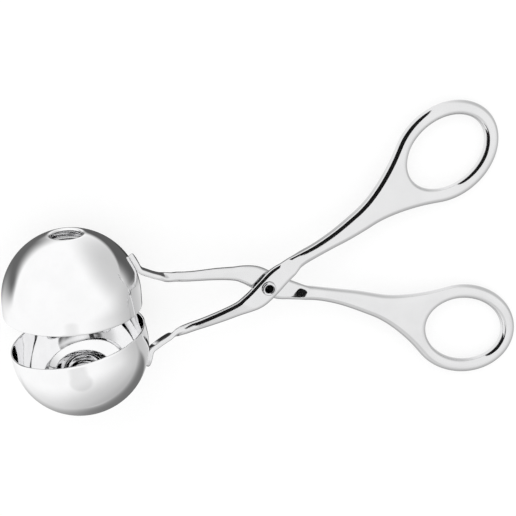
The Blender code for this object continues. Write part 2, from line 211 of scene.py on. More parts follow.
# Studio. The tent is white, with greyer patches given as (azimuth, elevation, core, edge, level)
FLOOR_COLOUR = (0.30, 0.30, 0.30)
FLOOR_GLOW = 0.71
FLOOR_SIZE = 6.0
FLOOR_DROP = 0.0002
TENT_LEVEL = 1.04
TENT_PATCHES = (
    (-94, 53, 12, 19, 0.84),
    (-70, -15, 10, 78, 0.55),
    (-70, -25, 5, 40, 0.82),
    (22, -20, 10, 62, 0.62),
)
# Cards that only the metal sees: two black ones that stand on edge above the tongs, the left one reaching
# down to 9 mm over the arms, and three that lie on the floor, in part under the cups. Each is named, with
# its middle, the way it faces, its width and height, how far its four edges fade (west, east, bottom, top)
# and its levels at the bottom and the top. A card that lies flat has its top towards +Y
HARD_EDGES = (0, 0, 0, 0)
BLACK = (0.008, 0.008)
TOWARDS_LOOPS = (1, 0, -0.14)
UPWARDS = (0, 0, 1)
CARDS = (
    ("black_card_left", (0.038, 0.2675, 0.525), TOWARDS_LOOPS, 0.665, 1.0, HARD_EDGES, BLACK),
    ("black_card_bend", (0.0205, -0.135, 0.400), TOWARDS_LOOPS, 0.140, 0.4, HARD_EDGES, BLACK),
    # The three cards that lie on the floor are painted shade on the floor, darkest under and near the cups,
    # which the metal reflects in place of the floor
    ("grey_floor_front", (-0.040, -0.290, 0.0003), UPWARDS, 0.210, 0.500,
     (0.09, 0.09, 0.25, 0.01), (0.75, 0.17)),
    ("dark_floor_right", (-0.033, 0.0195, 0.0004), UPWARDS, 0.186, 0.047,
     (0.03, 0.085, 0.012, 0.008), (0.11, 0.11)),
    ("dark_floor_left", (-0.180, 0.030, 0.0005), UPWARDS, 0.230, 0.100,
     (0.14, 0.03, 0.050, 0.045), (0.14, 0.14)),
)
# Shade on the floor under the strips that only the metal sees, rounder than a rectangle. It has its middle,
# its half width and half height, the share of them over which it fades and its levels inside and outside
STRIP_SHADE = ("shade_strips", (-0.047, -0.005, 0.0005), 0.008, 0.028, 0.30, (0.04, 0.04))
SHADE_POWER = 3
SHADE_TURN = (0.74, 0.90)
LAMPS = (
    ("lamp_back", (-0.15, 0.75, 0.75), (0.0, 0.0, 0.0), 0.6, 2.0),
)

# Camera
VIEW_TURN_DEG = (20.64, 12.37, 6.23)
PHOTO_PIXELS = 516
FOCAL_PIXELS = 1279.15
RIVET_PIXEL = (269.0, 288.5)
RIVET_DISTANCE = 0.47584
RIVET_TOP = 0.00223
SENSOR_WIDTH = 36.0
NEAREST = 0.01

PAD_MID = (SHEET + CLEARANCE) / 2
RIM_SETBACK = RIM_GAP / 2
TAB_RADIUS = CUP_RADIUS - WELD_SINK + SHEET / 2


def heading(degrees):
    """Unit vector in the lever's plane at this angle from +X."""
    return Vector((math.cos(math.radians(degrees)), math.sin(math.radians(degrees))))


def smooth(share):
    """Eases from 0 to 1 as share goes from 0 to 1, and holds outside."""
    share = min(max(share, 0.0), 1.0)
    return share * share * (3 - 2 * share)


def blend(low, high, share):
    return low + (high - low) * share


def turned(point, degrees):
    return Matrix.Rotation(math.radians(degrees), 2) @ point


def spline(points, counts):
    """A smooth curve through the points, with one count of steps for each span."""
    padded = [2 * points[0] - points[1]] + points + [2 * points[-1] - points[-2]]
    curve = []
    for a, b, c, d, count in zip(padded, padded[1:], padded[2:], padded[3:], counts):
        for step in range(count):
            t = step / count
            pull = (c - a) * t + (2 * a - 5 * b + 4 * c - d) * t * t
            pull = pull + (3 * (b - c) + d - a) * t * t * t
            curve.append(b + pull / 2)
    curve.append(points[-1])
    return curve


class Station:
    """One row across the lever: where its middle is, how it lies and the shape of its edges."""

    def __init__(self, middle, along, half_width, radius, depth, lip, twist=0.0, pad_level=0.0):
        side = Vector((-along.y, along.x, 0)).normalized()
        up = Vector((0, 0, 1))
        self.across = side * math.cos(twist) + up * math.sin(twist)
        self.normal = up * math.cos(twist) - side * math.sin(twist)
        self.middle = middle
        self.half_width = half_width
        self.radius = radius
        self.depth = depth
        self.lip = lip
        self.pad_level = pad_level

    def point(self, share):
        """A point of the outer face, share 0 on the right and 1 on the left, looking along."""
        offset = (self.half_width - self.radius) * (2 * share - 1)
        place = self.middle + self.across * offset
        level = Vector((0, 0, sheet_level(place.to_2d(), self.pad_level)))
        return place + level + self.normal * (SHEET / 2)


def sheet_level(point, pad_level):
    """Height of the middle of the sheet: on the pad's level at the rivet and 0 beyond the joggle. The
    joggle starts on a slant. It ends square across the arm and the rear handle."""
    gone = abs(point.dot(heading(PAD_HEADING_DEG))) - JOGGLE_START
    if gone <= 0:
        return pad_level
    along = point.dot(heading(PATH_HEADING_DEG))
    if along < 0:
        left = ARM_JOGGLE_END + along
    elif pad_level > 0:
        left = FRONT_JOGGLE_RUN - gone
    else:
        left = REAR_JOGGLE_END - along
    return blend(pad_level, 0.0, gone / (gone + max(left, 0)))


def flat_station(row, along, pad_level):
    """A row of the flat arm, pad or handle, its edges shaped by how far it is from the rivet."""
    place = row.to_2d()
    if place.x < 0:
        radius, depth, lip = PAD_EDGE_RADIUS, SHEET, PAD_LIP
    else:
        to_neck = smooth((place.x / HANDLE_REACH - WAIST_SHARE) / (1 - WAIST_SHARE))
        curl = smooth((place.length - CURL_START) / CURL_RUN)
        radius = blend(blend(PAD_EDGE_RADIUS, WAIST_EDGE_RADIUS, curl), NECK_EDGE_RADIUS, to_neck)
        depth = blend(blend(SHEET, WAIST_DEPTH, curl), NECK_DEPTH, to_neck)
        lip = blend(PAD_LIP, HANDLE_LIP, curl)
    return Station(place.to_3d(), along, row.z, radius, depth, lip, pad_level=pad_level)


def along_curve(curve, place):
    """Direction of travel at a point of a curve."""
    ahead = curve[min(place + 1, len(curve) - 1)]
    behind = curve[max(place - 1, 0)]
    return (ahead - behind).to_2d().normalized()


def path_row(reach, rise, shares, sign):
    """One row of a path table as (x, y, half width). The sway leans both levers the same way."""
    x, y, width, sway = shares
    place = Vector((reach * x, rise * y)) + heading(SWAY_HEADING_DEG) * (SWAY * sway * sign)
    return Vector((place.x, place.y, PAD_HALF_WIDTH * width))


def neck_end(sign):
    return path_row(HANDLE_REACH, HANDLE_RISE, HANDLE_SHARES[-1], sign).to_2d()


def path_stations(sign):
    """Rows from the neck of the loop, over the pad and arm, to the bend at the cup."""
    handle = [path_row(HANDLE_REACH, HANDLE_RISE, shares, sign) for shares in HANDLE_SHARES]
    arm = [path_row(-ARM_REACH, -ARM_DROP, shares, sign) for shares in ARM_SHARES]
    middle = path_row(0, -PAD_DROP, (0, 1, 1, PAD_SWAY_SHARE), sign)
    bend_end = bend_points(sign)[2]
    strip_end = Vector((bend_end.x, bend_end.y, STRIP_HALF_WIDTH))
    points = list(reversed(handle)) + [middle] + arm + [strip_end]
    counts = [SPAN_STEPS] * (len(points) - 3) + [TWIST_STEPS, STRIP_STEPS]
    curve = spline(points, counts)
    twist_start = len(curve) - 1 - STRIP_STEPS - TWIST_STEPS
    rows = []
    for place, row in enumerate(curve):
        along = -along_curve(curve, place)
        turn = smooth((place - twist_start) / TWIST_STEPS)
        if turn > 0:
            middle = row.to_2d().to_3d()
            radius = blend(PAD_EDGE_RADIUS, STRIP_EDGE_RADIUS, turn)
            twist = turn * math.pi / 2
            rows.append(Station(middle, along, row.z, radius, SHEET, PAD_LIP, twist))
        else:
            rows.append(flat_station(row, along, PAD_MID * sign))
    return rows


def cup_centre():
    return Vector((-PIVOT_TO_CUP, -RIM_SETBACK - CUP_SKIRT))


def bend_points(sign):
    """Where the strip leaves the cup's curve, the centre of the bend there, and where the bend ends."""
    out = heading(TAB_START_DEG - TAB_SWAY_DEG * sign)
    start = cup_centre() + TAB_RADIUS * out
    centre = start + BEND_RADIUS * out
    end = centre + BEND_RADIUS * heading(STRIP_HEADING_DEG + 90)
    return start, centre, end


def tab_stations(sign):
    """Rows of the bend and of the tab that lies on the cup."""
    bend_centre = bend_points(sign)[1]
    start = TAB_START_DEG - TAB_SWAY_DEG * sign
    end = TAB_END_DEG - TAB_SWAY_DEG * sign
    rows = []
    for step in range(1, BEND_STEPS + 1):
        angle = blend(STRIP_HEADING_DEG + 90, start + 180, step / BEND_STEPS)
        middle = bend_centre + BEND_RADIUS * heading(angle)
        rows.append(edgewise(middle, heading(angle - 90), STRIP_HALF_WIDTH))
    widths = [(step / TAB_STEPS * TAB_TIP_SHARES[0][0], 1.0) for step in range(1, TAB_STEPS)]
    for share, width in widths + list(TAB_TIP_SHARES):
        angle = blend(start, end, share)
        middle = cup_centre() + TAB_RADIUS * heading(angle)
        rows.append(edgewise(middle, heading(angle + 90), STRIP_HALF_WIDTH * width))
    return rows


def edgewise(middle, along, half_width):
    return Station(middle.to_3d(), along, half_width, STRIP_EDGE_RADIUS, SHEET, PAD_LIP, math.pi / 2)


def loop_point(degrees, grow):
    """A point of the hole's outline grown outwards, in the loop's own frame."""
    angle = math.radians(degrees)
    return Vector(((HOLE_HALF_LENGTH + grow) * math.cos(angle), (HOLE_HALF_WIDTH + grow) * math.sin(angle)))


def loop_angles():
    """Angles round the loop: first across the fan that faces the neck, then round the rest."""
    sweep = 2 * FAN_HALF_SWEEP_DEG
    fan = [180 + FAN_HALF_SWEEP_DEG - sweep * step / ACROSS for step in range(ACROSS)]
    rest = [180 - FAN_HALF_SWEEP_DEG - (360 - sweep) * step / LOOP_STEPS for step in range(LOOP_STEPS)]
    return fan + rest


def neck_flat_half():
    """Half the width of the flat between the neck's two rounded edges."""
    return PAD_HALF_WIDTH * HANDLE_SHARES[-1][2] - NECK_EDGE_RADIUS


def fan_side(share, sign):
    """The fan's edge, from the neck at share 0 to the loop at share 1, as a Bezier curve."""
    start = Vector((-NECK_LENGTH, neck_flat_half() * sign))
    end = loop_point(180 - FAN_HALF_SWEEP_DEG, LOOP_BAND - LOOP_EDGE_RADIUS)
    beyond = 180 - FAN_HALF_SWEEP_DEG - TANGENT_STEP_DEG
    near = loop_point(beyond, LOOP_BAND - LOOP_EDGE_RADIUS)
    tangent = (near - end).normalized()
    end.y *= sign
    tangent.y *= sign
    pull = (NECK_LENGTH - HOLE_HALF_LENGTH) * FAN_PULL_SHARE
    first = start + Vector((pull, 0))
    second = end - tangent * pull
    rest = 1 - share
    return start * rest**3 + first * 3 * rest**2 * share + second * 3 * rest * share**2 + end * share**3


def fan_point(row, column):
    """A point of the web between the loop, at row 0, and the neck, at row 1."""
    angle = 180 + FAN_HALF_SWEEP_DEG - 2 * FAN_HALF_SWEEP_DEG * column
    arc = loop_point(angle, LOOP_BAND - LOOP_EDGE_RADIUS)
    neck = Vector((-NECK_LENGTH, blend(-neck_flat_half(), neck_flat_half(), column)))
    low = fan_side(1 - row, -1) - blend(fan_side(1, -1), fan_side(0, -1), row)
    high = fan_side(1 - row, 1) - blend(fan_side(1, 1), fan_side(0, 1), row)
    return blend(arc, neck, row) + blend(low, high, column)


def extruded(mesh, edges):
    """Extrudes the edges and returns the new vertices and edges. Custom values go with each vertex."""
    made = bmesh.ops.extrude_edge_only(mesh, edges=edges)["geom"]
    verts = [part for part in made if isinstance(part, bmesh.types.BMVert)]
    return verts, [part for part in made if isinstance(part, bmesh.types.BMEdge)]


def face_sheet(mesh, stations, sign):
    """The lever's outer face as an open sheet: the loop's band, the fan, the handle, pad and arm."""
    order = mesh.verts.layers.int.new("order")
    shape = mesh.verts.layers.float_vector.new("shape")
    normal = mesh.verts.layers.float_vector.new("normal")
    angles = loop_angles()
    tilt = LOOP_TILT_DEG + HANDLE_TURN_DEG * sign
    centre = neck_end(sign) + NECK_LENGTH * heading(tilt)

    def place(vert, point, values):
        flat = centre + turned(point, tilt)
        vert.co = Vector((flat.x, flat.y, SHEET / 2))
        vert[shape] = values
        vert[normal] = (0, 0, 1)

    circle = bmesh.ops.create_circle(mesh, segments=len(angles), radius=HOLE_HALF_LENGTH)["verts"]
    hole_values = (HOLE_EDGE_RADIUS, LOOP_DEPTH, HANDLE_LIP)
    for number, vert in enumerate(circle):
        vert[order] = number
        place(vert, loop_point(angles[number], HOLE_EDGE_RADIUS), hole_values)
    edges = list(mesh.edges)
    flat_band = LOOP_BAND - LOOP_EDGE_RADIUS - HOLE_EDGE_RADIUS
    rim_values = (LOOP_EDGE_RADIUS, LOOP_DEPTH, HANDLE_LIP)
    for step in range(1, BAND_STEPS + 1):
        verts, edges = extruded(mesh, edges)
        for vert in verts:
            grow = HOLE_EDGE_RADIUS + flat_band * step / BAND_STEPS
            place(vert, loop_point(angles[vert[order]], grow), rim_values)

    edges = [edge for edge in edges if all(vert[order] <= ACROSS for vert in edge.verts)]
    for step in range(1, FAN_STEPS):
        verts, edges = extruded(mesh, edges)
        row = step / FAN_STEPS
        values = (
            blend(LOOP_EDGE_RADIUS, NECK_EDGE_RADIUS, row),
            blend(LOOP_DEPTH, NECK_DEPTH, row),
            HANDLE_LIP,
        )
        for vert in verts:
            place(vert, fan_point(row, vert[order] / ACROSS), values)
    for station in stations:
        verts, edges = extruded(mesh, edges)
        for vert in verts:
            vert.co = station.point(vert[order] / ACROSS)
            vert[shape] = (station.radius, station.depth, station.lip)
            vert[normal] = station.normal


def edge_profile(radius, depth, lip):
    """How far in from the outline, and how far down from the face, each ring of the edge lies."""
    rings = []
    for step in range(1, ROUND_STEPS + 1):
        angle = math.pi / 2 * step / ROUND_STEPS
        rings.append((radius * (1 - math.sin(angle)), radius * (1 - math.cos(angle))))
    rings.append((0, depth - EDGE_BREAK))
    rings.append((EDGE_BREAK, depth))
    rings.append((lip, depth))
    rings.append((lip + EDGE_BREAK, SHEET))
    return rings


def outward_directions(mesh, normal):
    """For each vertex on the sheet's boundary, the direction away from the sheet along its surface."""
    found = {}
    for edge in mesh.edges:
        if len(edge.link_loops) != 1:
            continue
        loop = edge.link_loops[0]
        run = loop.link_loop_next.vert.co - loop.vert.co
        for vert in edge.verts:
            found.setdefault(vert, []).append(run.cross(vert[normal]).normalized())
    return {vert: sum(sides, Vector()).normalized() for vert, sides in found.items()}


def thicken(mesh):
    """Rolls the boundary of the sheet down into a rounded edge and closes the hollow back."""
    shape = mesh.verts.layers.float_vector["shape"]
    normal = mesh.verts.layers.float_vector["normal"]
    outward = mesh.verts.layers.float_vector.new("outward")
    start = mesh.verts.layers.float_vector.new("start")
    for vert in mesh.verts:
        vert[start] = vert.co
    boundary = [edge for edge in mesh.edges if edge.is_boundary]
    for vert, direction in outward_directions(mesh, normal).items():
        vert[outward] = direction
    back = bmesh.ops.duplicate(mesh, geom=mesh.verts[:] + mesh.edges[:] + mesh.faces[:])["geom"]
    for part in back:
        if isinstance(part, bmesh.types.BMVert):
            radius, _, lip = part[shape]
            moved = part[outward] * (radius - lip - EDGE_BREAK)
            part.co = part[start] + moved - part[normal] * SHEET
    edges = boundary
    rings = len(edge_profile(0, 0, 0))
    for ring in range(rings):
        verts, edges = extruded(mesh, edges)
        for vert in verts:
            inset, down = edge_profile(*vert[shape])[ring]
            vert.co = vert[start] + vert[outward] * (vert[shape][0] - inset) - vert[normal] * down
    bmesh.ops.remove_doubles(mesh, verts=mesh.verts[:], dist=MERGE)


def tongs_matrix():
    """The tongs' own frame in world space: the rivet's axis at the origin along +Z, the loops along +X."""
    joint = frame["joints"][0]
    normal = -Vector(joint["axis"]).normalized()
    along = Vector((0, 1, 0)).cross(normal).normalized()
    across = normal.cross(along)
    turn = Matrix((along, across, normal)).transposed().to_4x4()
    return Matrix.Translation(joint["pos_m"]) @ turn


def side_matrix(sign):
    """The frame of one lever at rest."""
    return tongs_matrix() @ Matrix.Rotation(math.radians(REST_OPENING_DEG / 2) * sign, 4, "Z")


def finished(name, mesh, place, material, body, node):
    """Puts a mesh where it belongs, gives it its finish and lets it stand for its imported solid."""
    bmesh.ops.recalc_face_normals(mesh, faces=mesh.faces[:])
    data = bpy.data.meshes.new(name)
    mesh.to_mesh(data)
    mesh.free()
    data.transform(place)
    data.shade_smooth()
    data.set_sharp_from_angle(angle=math.radians(SHARP_ANGLE_DEG))
    data.materials.append(material)
    item = bpy.data.objects.new(name, data)
    bpy.context.scene.collection.objects.link(item)
    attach(item, body)
    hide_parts(node)


def modified(mesh, modifiers):
    """The mesh after these modifiers, each given as (type, settings)."""
    data = bpy.data.meshes.new("work")
    mesh.to_mesh(data)
    mesh.free()
    work = bpy.data.objects.new("work", data)
    bpy.context.scene.collection.objects.link(work)
    for kind, settings in modifiers:
        modifier = work.modifiers.new(kind.lower(), kind)
        for key, value in settings.items():
            setattr(modifier, key, value)
    graph = bpy.context.evaluated_depsgraph_get()
    result = bmesh.new()
    result.from_mesh(work.evaluated_get(graph).data)
    bpy.data.objects.remove(work)
    bpy.data.meshes.remove(data)
    return result


def rivet_hole_cutter():
    """A plug the width of the rivet's hole, longer than both pads are thick."""
    mesh = bmesh.new()
    length = 2 * (PAD_MID + SHEET + CUT_OVERRUN)
    radius = SHANK_RADIUS + CLEARANCE
    bmesh.ops.create_cone(
        mesh, cap_ends=True, segments=RIVET_STEPS, radius1=radius, radius2=radius, depth=length
    )
    data = bpy.data.meshes.new("rivet_hole_cutter")
    mesh.to_mesh(data)
    mesh.free()
    cutter = bpy.data.objects.new("rivet_hole_cutter", data)
    bpy.context.scene.collection.objects.link(cutter)
    return cutter


def lever(name, sign, cutter, material, body):
    """One pressed lever, smoothed, with its rivet hole cut and its place in its mesh."""
    mesh = bmesh.new()
    face_sheet(mesh, path_stations(sign) + tab_stations(sign), sign)
    thicken(mesh)
    bmesh.ops.scale(mesh, vec=(1, sign, 1), verts=mesh.verts[:])
    bmesh.ops.recalc_face_normals(mesh, faces=mesh.faces[:])
    smoothing = {"levels": SMOOTH_LEVELS, "render_levels": SMOOTH_LEVELS}
    cut = {"operation": "DIFFERENCE", "object": cutter}
    mesh = modified(mesh, [("SUBSURF", smoothing), ("BOOLEAN", cut)])
    finished(name, mesh, side_matrix(sign), material, body, name)


def arc(centre, radius, start_deg, end_deg, steps):
    """Points of an arc after its start, as (radius, depth) pairs."""
    points = []
    for step in range(1, steps + 1):
        angle = math.radians(blend(start_deg, end_deg, step / steps))
        points.append((centre[0] + radius * math.cos(angle), centre[1] + radius * math.sin(angle)))
    return points


def cup_profile():
    """Outline of the cup's wall in (radius, depth below the rim): down the outside, up the inside."""
    inner = CUP_RADIUS - CUP_WALL
    rim_round = CUP_WALL / 2
    rim = arc((CUP_RADIUS - rim_round, rim_round), rim_round, 180, 360, ROUND_STEPS * 2)
    profile = [(inner, rim_round)] + rim
    for step in range(1, SKIRT_STEPS + 1):
        profile.append((CUP_RADIUS, blend(rim_round, CUP_SKIRT, step / SKIRT_STEPS)))
    outer_end = math.degrees(math.acos((VENT_RADIUS + VENT_BEND) / CUP_RADIUS))
    profile += arc((0, CUP_SKIRT), CUP_RADIUS, 0, outer_end, DOME_STEPS)
    edge = profile[-1]
    lip_radius = VENT_RADIUS - CUP_WALL
    lip_end = CUP_SKIRT + math.sqrt(inner**2 - VENT_RADIUS**2) - VENT_LIP
    for step in range(1, ROUND_STEPS * 2 + 1):
        angle = math.pi / 2 * step / (ROUND_STEPS * 2)
        across = blend(edge[0], lip_radius, math.sin(angle))
        profile.append((across, edge[1] - VENT_BEND * (1 - math.cos(angle))))
    profile += [(lip_radius, lip_end), (VENT_RADIUS, lip_end)]
    inner_start = math.degrees(math.acos(VENT_RADIUS / inner))
    profile += [(VENT_RADIUS, CUP_SKIRT + inner * math.sin(math.radians(inner_start)))]
    profile += arc((0, CUP_SKIRT), inner, inner_start, 0, DOME_STEPS)
    back = [(inner, blend(CUP_SKIRT, rim_round, step / SKIRT_STEPS)) for step in range(1, SKIRT_STEPS)]
    return profile + back


def spun(profile, steps):
    """A closed body turned round the Z axis from (radius, height) points."""
    mesh = bmesh.new()
    verts = [mesh.verts.new((radius, 0, height)) for radius, height in profile]
    closed = profile[0][0] > 0
    pairs = list(zip(verts, verts[1:])) + ([(verts[-1], verts[0])] if closed else [])
    edges = [mesh.edges.new(pair) for pair in pairs]
    bmesh.ops.spin(
        mesh,
        geom=verts + edges,
        cent=(0, 0, 0),
        axis=(0, 0, 1),
        angle=math.tau,
        steps=steps,
        use_merge=True,
    )
    bmesh.ops.remove_doubles(mesh, verts=mesh.verts[:], dist=MERGE)
    return mesh


def cup(name, sign, material, body):
    """A thin round cup, its rim rolled smooth and its vent turned in."""
    mesh = spun([(radius, -depth) for radius, depth in cup_profile()], CUP_STEPS)
    turn = Matrix.Rotation(-math.pi / 2 * sign, 4, "X")
    shift = Matrix.Translation((-PIVOT_TO_CUP, -RIM_SETBACK * sign, 0))
    finished(name, mesh, side_matrix(sign) @ shift @ turn, material, body, name)


def rivet(material):
    """The hollow rivet: a flat head behind, and in front the rolled end round its bore."""
    front = PAD_MID + SHEET / 2 + CLEARANCE
    back = -front
    mid_roll = (ROLL_RADIUS + RIVET_BORE_RADIUS) / 2
    half_roll = (ROLL_RADIUS - RIVET_BORE_RADIUS) / 2
    head_round = HEAD_HEIGHT / 2
    profile = [(0, back - HEAD_HEIGHT), (HEAD_RADIUS - head_round, back - HEAD_HEIGHT)]
    profile += arc((HEAD_RADIUS - head_round, back - head_round), head_round, -90, 90, ROUND_STEPS * 2)
    profile += [(SHANK_RADIUS, back), (SHANK_RADIUS, front)]
    for step in range(ROLL_STEPS + 1):
        angle = math.pi * step / ROLL_STEPS
        profile.append((mid_roll + half_roll * math.cos(angle), front + ROLL_HEIGHT * math.sin(angle)))
    profile += [(RIVET_BORE_RADIUS, back), (0, back)]
    mesh = spun(profile, RIVET_STEPS)
    finished("pivot_rivet", mesh, side_matrix(1), material, "front_half", "pivot_rivet")


class Nodes:
    """Adds shader nodes to a tree and links them."""

    def __init__(self, tree):
        self.tree = tree

    def add(self, kind, **settings):
        node = self.tree.nodes.new(kind)
        for key, value in settings.items():
            setattr(node, key, value)
        return node

    def link(self, output, socket):
        self.tree.links.new(output, socket)

    def value(self, source, socket):
        """Gives a socket a number, or links it to another node's output."""
        if isinstance(source, bpy.types.NodeSocket):
            self.link(source, socket)
        else:
            socket.default_value = source

    def math(self, operation, first, second=0.0):
        node = self.add("ShaderNodeMath", operation=operation)
        self.value(first, node.inputs[0])
        self.value(second, node.inputs[1])
        return node.outputs[0]

    def spread(self, source, low, high, out_low, out_high):
        """Maps low..high of the source smoothly to out_low..out_high."""
        node = self.add("ShaderNodeMapRange", interpolation_type="SMOOTHSTEP")
        self.value(source, node.inputs["Value"])
        for key, number in (("From Min", low), ("From Max", high), ("To Min", out_low), ("To Max", out_high)):
            node.inputs[key].default_value = number
        return node.outputs["Result"]


def polished_steel(name, colour, roughness, rough_spread, ripple, scratch):
    """Polished stainless steel: soft ripples from pressing, fine polishing lines and a slightly clouded
    roughness. The lines run along X."""
    material = bpy.data.materials.new(name)
    material.use_nodes = True
    nodes = Nodes(material.node_tree)
    shader = material.node_tree.nodes["Principled BSDF"]
    shader.inputs["Metallic"].default_value = 1
    shader.inputs["IOR"].default_value = STEEL_IOR
    place = nodes.add("ShaderNodeTexCoord").outputs["Object"]

    def noise(scale, detail, stretch=1.0):
        mapping = nodes.add("ShaderNodeMapping")
        mapping.inputs["Scale"].default_value = (1 / stretch, 1, 1)
        nodes.link(place, mapping.inputs["Vector"])
        texture = nodes.add("ShaderNodeTexNoise")
        nodes.link(mapping.outputs["Vector"], texture.inputs["Vector"])
        texture.inputs["Scale"].default_value = scale
        texture.inputs["Detail"].default_value = detail
        return texture.outputs["Fac"]

    clouds = noise(CLOUD_SCALE, CLOUD_DETAIL)
    lines = noise(LINE_SCALE, LINE_DETAIL, LINE_STRETCH)
    tint = nodes.add("ShaderNodeMix", data_type="RGBA")
    nodes.link(nodes.spread(clouds, *NOISE_RANGE, 0, 1), tint.inputs["Factor"])
    tint.inputs["A"].default_value = (*(level * TINT_SHARE for level in colour), 1)
    tint.inputs["B"].default_value = (*colour, 1)
    nodes.link(tint.outputs["Result"], shader.inputs["Base Color"])
    rough = nodes.spread(lines, *NOISE_RANGE, roughness - rough_spread, roughness + rough_spread)
    nodes.link(rough, shader.inputs["Roughness"])
    wide = nodes.add("ShaderNodeBump")
    wide.inputs["Distance"].default_value = ripple
    nodes.link(noise(RIPPLE_SCALE, RIPPLE_DETAIL), wide.inputs["Height"])
    fine = nodes.add("ShaderNodeBump")
    fine.inputs["Distance"].default_value = scratch
    nodes.link(lines, fine.inputs["Height"])
    nodes.link(wide.outputs["Normal"], fine.inputs["Normal"])
    nodes.link(fine.outputs["Normal"], shader.inputs["Normal"])
    return material


def paint_bore_shade(material):
    """Painted shade: darkens the steel's colour inside the rivet's bore, below the rolled end, where the
    hollow lies in shade.
    """
    nodes = Nodes(material.node_tree)
    base = material.node_tree.nodes["Principled BSDF"].inputs["Base Color"]
    place = tongs_matrix()
    mapping = nodes.add("ShaderNodeMapping", vector_type="TEXTURE")
    mapping.inputs["Location"].default_value = place.to_translation()
    mapping.inputs["Rotation"].default_value = place.to_euler()
    nodes.link(nodes.add("ShaderNodeTexCoord").outputs["Object"], mapping.inputs["Vector"])
    split = nodes.add("ShaderNodeSeparateXYZ")
    nodes.link(mapping.outputs["Vector"], split.inputs[0])
    squares = [nodes.math("POWER", split.outputs[axis], 2) for axis in "XY"]
    across = nodes.math("SQRT", nodes.math("ADD", *squares))
    inside = nodes.spread(across, BORE_SHADE_RADIUS - BORE_SHADE_SOFTNESS, BORE_SHADE_RADIUS, 1, 0)
    depth = nodes.spread(split.outputs["Z"], BORE_SHADE_TOP - BORE_SHADE_SOFTNESS, BORE_SHADE_TOP, 1, 0)
    mix = nodes.add("ShaderNodeMix", data_type="RGBA")
    nodes.link(nodes.math("MULTIPLY", inside, depth), mix.inputs["Factor"])
    nodes.link(base.links[0].from_socket, mix.inputs["A"])
    mix.inputs["B"].default_value = (*BORE_SHADE_COLOUR, 1)
    nodes.link(mix.outputs["Result"], base)


def heading_vector(azimuth_deg, elevation_deg):
    azimuth = math.radians(azimuth_deg)
    elevation = math.radians(elevation_deg)
    flat = math.cos(elevation)
    return Vector((flat * math.cos(azimuth), flat * math.sin(azimuth), math.sin(elevation)))


def studio_world():
    """A white tent. Metal sees its greyer patches, the camera sees plain white."""
    world = bpy.data.worlds.new("tent")
    world.use_nodes = True
    bpy.context.scene.world = world
    nodes = Nodes(world.node_tree)
    background = world.node_tree.nodes["Background"]
    direction = nodes.add("ShaderNodeTexCoord").outputs["Generated"]
    level = TENT_LEVEL
    for azimuth, elevation, core, edge, patch_level in TENT_PATCHES:
        dot = nodes.add("ShaderNodeVectorMath", operation="DOT_PRODUCT")
        nodes.link(direction, dot.inputs[0])
        dot.inputs[1].default_value = heading_vector(azimuth, elevation)
        inside, outside = math.cos(math.radians(core)), math.cos(math.radians(edge))
        patch = nodes.spread(dot.outputs["Value"], outside, inside, 1, patch_level)
        level = nodes.math("MULTIPLY", level, patch)
    strength = nodes.add("ShaderNodeMix", data_type="FLOAT")
    nodes.link(nodes.add("ShaderNodeLightPath").outputs["Is Glossy Ray"], strength.inputs["Factor"])
    strength.inputs["A"].default_value = 1
    nodes.link(level, strength.inputs["B"])
    nodes.link(strength.outputs["Result"], background.inputs["Strength"])
    background.inputs["Color"].default_value = (1, 1, 1, 1)


def stage_plane(name, width, height, place, material):
    mesh = bmesh.new()
    bmesh.ops.create_grid(mesh, x_segments=1, y_segments=1, size=0.5)
    bmesh.ops.scale(mesh, vec=(width, height, 1), verts=mesh.verts[:])
    data = bpy.data.meshes.new(name)
    mesh.to_mesh(data)
    mesh.free()
    data.materials.append(material)
    item = bpy.data.objects.new(name, data)
    item.matrix_world = place
    bpy.context.scene.collection.objects.link(item)
    return item


def glow_material(name):
    """A material that only glows, on its front: its back lets everything through. Gives its nodes, its
    emission and the socket that says how solid it is."""
    material = bpy.data.materials.new(name)
    material.use_nodes = True
    nodes = Nodes(material.node_tree)
    material.node_tree.nodes.remove(material.node_tree.nodes["Principled BSDF"])
    glow = nodes.add("ShaderNodeEmission")
    glow.inputs["Color"].default_value = (1, 1, 1, 1)
    clear = nodes.add("ShaderNodeBsdfTransparent")
    mix = nodes.add("ShaderNodeMixShader")
    nodes.link(clear.outputs[0], mix.inputs[1])
    nodes.link(glow.outputs[0], mix.inputs[2])
    nodes.link(mix.outputs[0], material.node_tree.nodes["Material Output"].inputs["Surface"])
    front = nodes.math("SUBTRACT", 1.0, nodes.add("ShaderNodeNewGeometry").outputs["Backfacing"])
    nodes.link(front, mix.inputs[0])
    return material, nodes, glow.inputs["Strength"], mix.inputs[0], front


def spot_axes(nodes):
    """X, Y and Z of a point in the object's own frame."""
    split = nodes.add("ShaderNodeSeparateXYZ")
    nodes.link(nodes.add("ShaderNodeTexCoord").outputs["Object"], split.inputs[0])
    return split.outputs


def hide_from_all_but_metal(item):
    item.visible_camera = False
    item.visible_diffuse = False
    item.visible_shadow = False


def card(name, centre, faces, width, height, fades, levels):
    """A card that only the metal's reflections see, and only from its front."""
    material, nodes, strength, solid_socket, solid = glow_material(name)
    spot = spot_axes(nodes)
    nodes.link(nodes.spread(spot["Y"], -height / 2, height / 2, *levels), strength)
    west, east, bottom, top = fades
    for axis, half, low, high in (("X", width / 2, west, east), ("Y", height / 2, bottom, top)):
        if low:
            solid = nodes.math("MULTIPLY", solid, nodes.spread(spot[axis], -half, low - half, 0, 1))
        if high:
            solid = nodes.math("MULTIPLY", solid, nodes.spread(spot[axis], half - high, half, 1, 0))
    nodes.link(solid, solid_socket)
    front = Vector(faces).normalized()
    east = (Vector((0, 1, 0)) if front.z == 1 else Vector((0, 0, 1))).cross(front).normalized()
    turn = Matrix((east, front.cross(east), front)).transposed().to_4x4()
    place = Matrix.Translation(centre) @ turn
    hide_from_all_but_metal(stage_plane(name, width, height, place, material))


